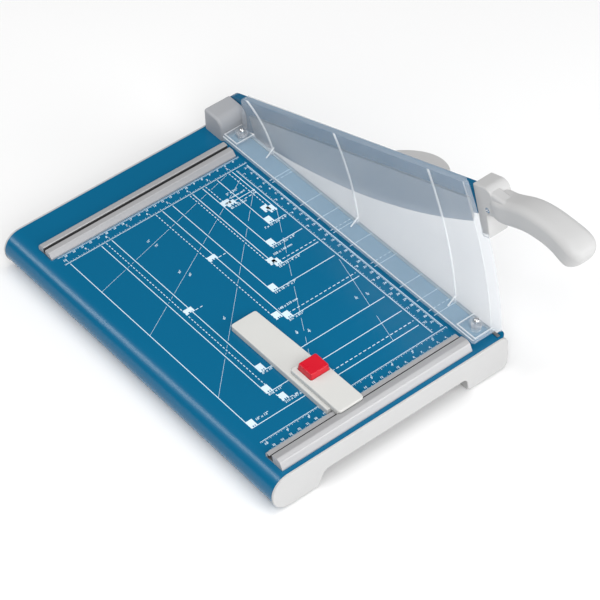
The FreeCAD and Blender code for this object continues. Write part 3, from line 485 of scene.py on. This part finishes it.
def rect(x0, x1, y0, y1):
    return [(x0, y0), (x1, y0), (x1, y1), (x0, y1)]


def stroke(x0, y0, x1, y1, width=LINE):
    length = math.hypot(x1 - x0, y1 - y0)
    dx, dy = (x1 - x0) / length * width / 2, (y1 - y0) / length * width / 2
    return [(x0 + dy, y0 - dx), (x1 + dy, y1 - dx), (x1 - dy, y1 + dx), (x0 - dy, y0 + dx)]


def dashes(x0, y0, x1, y1, pattern=DASH):
    """A broken line; a last dash of under 0.5 mm is left out."""
    length = math.hypot(x1 - x0, y1 - y0)
    ux, uy = (x1 - x0) / length, (y1 - y0) / length
    done = 0.0
    marks = []
    while done < length - 0.5:
        end = min(done + pattern[0], length)
        marks.append(stroke(x0 + ux * done, y0 + uy * done, x0 + ux * end, y0 + uy * end))
        done += sum(pattern)
    return marks


def tag(x, y, wide):
    """Corner tag with a small notch that shows which way the sheet lies."""
    w, h = (TAG[1], TAG[0]) if wide else TAG
    return [rect(x, x + w, y + NOTCH, y + h), rect(x, x + w * 0.30, y, y + NOTCH),
            rect(x + w * 0.48, x + w * 0.62, y + 0.5, y + NOTCH),
            rect(x + w * 0.78, x + w, y, y + NOTCH)]


def format_marks():
    """The formats' lines along the table, across it, and their corner tags."""
    along, across, tags = [], [], []
    for width, depth, _, _ in SOLID_FORMATS:
        if depth > CARD_DEPTH:
            along.append(stroke(-width, UPPER_END, -width, -depth))
        across.append(stroke(-width, -depth, RIGHT_END, -depth))
        across.append(stroke(STRIP_SPAN[0], -depth, STRIP_SPAN[1], -depth))
        tags += tag(-width, -depth, width > depth)
    for width, depth, _, _ in DASHED_FORMATS:
        along += dashes(-width, UPPER_END, -width, -depth, SHORT_DASH)
        across += dashes(-width + 8, -depth, RIGHT_END, -depth)
        across += dashes(STRIP_SPAN[0], -depth, STRIP_SPAN[1], -depth)
        tags += tag(-width, -depth, width > depth)
    for width, depth in SIDEWAYS_FORMATS:
        tags += tag(-width, -depth, True)
        y = -depth + 0.3
        across += dashes(-width + SIDEWAYS_DASH[0], y, -width + SIDEWAYS_DASH[1], y)
    for width, depth, dashed in CARD_SLOTS:
        if dashed:
            along += dashes(-width, UPPER_END, -width, -depth, SHORT_DASH)
        else:
            along.append(stroke(-width, UPPER_END, -width, -depth))
        tags += tag(-width - TAG[0], -depth, False)
    return along, across, tags


def angle_marks():
    """Thin rays from the corner of the stops, broken where they cross a format's line."""
    uprights = sorted({width for width, _, _, _ in SOLID_FORMATS + DASHED_FORMATS})
    marks = []
    for angle in ANGLES:
        slope = math.tan(math.radians(angle))
        first = max(-RIGHT_END, -UPPER_END / slope)
        last = min(LARGEST[0], LARGEST[1] / slope)
        stops = [first] + [u for u in uprights if first + 3 < u < last - 3] + [last]
        for i in range(len(stops) - 1):
            start = stops[i] + (RAY_GAP if i else 0)
            end = stops[i + 1] - (RAY_GAP if i < len(stops) - 2 else 0)
            marks.append(stroke(-start, -start * slope, -end, -end * slope, THIN_LINE))
    return marks


def sixteenth(step, longest):
    """Length of an inch ruler's tick."""
    step %= 16
    return longest * (1.0 if step == 0 else 0.72 if step == 8 else
                      0.56 if step % 4 == 0 else 0.42 if step % 2 == 0 else 0.3)


def millimetre(step):
    """Length of a centimetre ruler's tick."""
    return 3.2 if step % 10 == 0 else 2.5 if step % 5 == 0 else 1.8


def ruler_marks():
    marks = []
    for line, side in INCH_RULERS:
        marks.append(rect(-10.2 * INCH, -31.0, line - 0.25, line + 0.25))
        for i in SIXTEENTHS:
            x, end = -i * INCH / 16, line + side * sixteenth(i, 4.2)
            marks.append(rect(x - TICK, x + TICK, min(line, end), max(line, end)))
    for line, side in CM_RULERS:
        for i in MILLIMETRES:
            end = line + side * millimetre(i)
            marks.append(rect(-i - TICK, -i + TICK, min(line, end), max(line, end)))
    for line in (RIGHT_INCH_LINE, RIGHT_CM_LINE):
        marks.append(rect(line - 0.3, line + 0.3, LOWER_END, -17.0))
    for i in RIGHT_SIXTEENTHS:
        y, end = -i * INCH / 16, RIGHT_INCH_LINE + sixteenth(i, 3.8)
        marks.append(rect(RIGHT_INCH_LINE, end, y - TICK, y + TICK))
    for i in RIGHT_MILLIMETRES:
        start = RIGHT_CM_LINE - millimetre(i)
        marks.append(rect(start, RIGHT_CM_LINE, -i - TICK, -i + TICK))
    return marks


def label_places():
    """(text, x, y, cap height, turn in degrees, alignment)"""
    places = []
    for width, depth, text, (dx, dy) in SOLID_FORMATS + DASHED_FORMATS:
        places.append((text, -width + dx, -depth + dy, 2.5, 0, "LEFT"))
    places.append(("business card", -76.6, -46.0, 2.1, 0, "LEFT"))
    for i in range(2, 11):
        for y in (-9.6, -329.4):
            places.append((str(i), -i * INCH - 1.6, y, 2.5, 0, "CENTER"))
    for i in range(4, 26):
        for y in (-5.0, -335.0):
            places.append((str(i), -10 * i - 1.2, y, 2.0, 0, "CENTER"))
    for i in range(1, 13):
        places.append((str(i), -42.6, -i * INCH - 2.2, 2.2, 0, "CENTER"))
    for i in range(2, 32):
        places.append((str(i), -37.4, -10 * i - 1.0, 2.2, 0, "CENTER"))
    for angle, (x, lift) in ANGLES.items():
        turn = math.radians(angle)
        dx, dy = math.sin(turn) * lift, math.cos(turn) * lift
        y = -x * math.tan(turn)
        places.append((f"{angle}°", -x - dx, y + dy, 2.0, angle, "CENTER"))
        if angle != 45:
            places.append((f"{90 - angle}°", -x + dx, y - dy, 2.0, angle, "CENTER"))
    return places


def label_mesh(text, x, y, height, turn, align):
    """One label's letters as solids, in their place on the table."""
    curve = bpy.data.curves.new("label", "FONT")
    curve.body = text
    curve.size = height / FONT_CAP_HEIGHT * MM
    curve.shear = SLANT
    curve.offset = WEIGHT
    curve.align_x = align
    curve.resolution_u = 3
    curve.extrude = (LABELS_TOP - PRINT_BOTTOM) / 2 * MM
    holder = bpy.data.objects.new("label", curve)
    bpy.context.scene.collection.objects.link(holder)
    middle = at(x, y, (LABELS_TOP + PRINT_BOTTOM) / 2)
    place = Matrix.Translation(middle) @ Matrix.Rotation(math.radians(turn), 4, "Z")
    bpy.context.view_layer.update()
    graph = bpy.context.evaluated_depsgraph_get()
    mesh = bpy.data.meshes.new_from_object(holder.evaluated_get(graph))
    mesh.transform(place)
    bpy.data.objects.remove(holder)
    bpy.data.curves.remove(curve)
    return mesh


def labels_mesh():
    """All the print's numbers and size labels in one mesh."""
    joined = bmesh.new()
    for place in label_places():
        mesh = label_mesh(*place)
        joined.from_mesh(mesh)
        bpy.data.meshes.remove(mesh)
    merged = bpy.data.meshes.new("table_labels")
    joined.to_mesh(merged)
    joined.free()
    return merged


def add_print(mesh):
    """A piece of the table's print, named as its mesh."""
    piece = bpy.data.objects.new(mesh.name, mesh)
    bpy.context.scene.collection.objects.link(piece)
    mesh.materials.append(INK)
    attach(piece, "base")


INK = ink()
along, across, tags = format_marks()
add_print(boxes_mesh("table_angles", angle_marks(), ANGLES_TOP))
add_print(boxes_mesh("table_formats_along", along, ALONG_TOP))
add_print(boxes_mesh("table_formats_across", across, ACROSS_TOP))
add_print(boxes_mesh("table_rulers", ruler_marks(), RULERS_TOP))
add_print(boxes_mesh("table_tags", tags, TAGS_TOP))
add_print(labels_mesh())


# ---------------------------------------------------------------- studio

FLOOR_HALF = 6.0               # half of the floor's side, m
FOCAL_LENGTH = 163.07          # mm, on a sensor 36 mm wide
EYE = at(-1236.0, -1687.5, 1871.0)
EYE_RIGHT = Vector((0.77617, -0.62961, -0.03404))
EYE_DOWN = Vector((-0.46564, -0.53597, -0.70421))
EYE_AHEAD = Vector((0.42514, 0.56243, -0.70917))
SKY_STRENGTH = 0.15

# name, place, target, size, power in watts
LIGHTS = [
    ("key", (-1.0, -1.9, 1.8), (0, 0, 0), (1.8, 1.8), 48),
    ("front", (1.5, -2.2, 0.7), (0, 0, 0.05), (2.0, 1.0), 36),
    ("top", (0.2, -0.2, 2.4), (0, 0, 0), (1.8, 1.8), 26),
    ("strip", (-1.25, 1.35, 1.70), (-0.15, 0, 0.04), (0.35, 1.9), 20),
]


def floor():
    mesh = bpy.data.meshes.new("floor")
    corners = [(x, y, 0) for x, y in rect(-FLOOR_HALF, FLOOR_HALF, -FLOOR_HALF, FLOOR_HALF)]
    mesh.from_pydata(corners, [], [(0, 1, 2, 3)])
    plane = bpy.data.objects.new("floor", mesh)
    bpy.context.scene.collection.objects.link(plane)
    shader = Shader("floor", grey(0.93), 0.9, Specular_IOR_Level=0.05)
    plane.data.materials.append(shader.mottle(2, 0.004).material)


def world():
    sky = bpy.data.worlds.new("studio")
    bpy.context.scene.world = sky
    sky.use_nodes = True
    background = sky.node_tree.nodes["Background"]
    background.inputs["Color"].default_value = grey(1)
    background.inputs["Strength"].default_value = SKY_STRENGTH


def soft_light(name, place, target, size, power):
    light = bpy.data.lights.new(name, "AREA")
    light.shape = "RECTANGLE"
    light.size, light.size_y = size
    light.energy = power
    lamp = bpy.data.objects.new(name, light)
    bpy.context.scene.collection.objects.link(lamp)
    lamp.location = place
    aim = Vector(target) - Vector(place)
    lamp.rotation_euler = aim.to_track_quat("-Z", "Y").to_euler()


def camera():
    lens = bpy.data.cameras.new("camera")
    lens.lens = FOCAL_LENGTH
    lens.sensor_width = 36.0
    lens.clip_start = 0.1
    lens.clip_end = 50
    viewer = bpy.data.objects.new("camera", lens)
    bpy.context.scene.collection.objects.link(viewer)
    axes = Matrix((EYE_RIGHT, -EYE_DOWN, -EYE_AHEAD)).transposed()
    viewer.matrix_world = Matrix.Translation(EYE) @ axes.to_4x4()
    bpy.context.scene.camera = viewer


floor()
world()
for light in LIGHTS:
    soft_light(*light)
camera()
bpy.context.scene.view_settings.view_transform = "Standard"
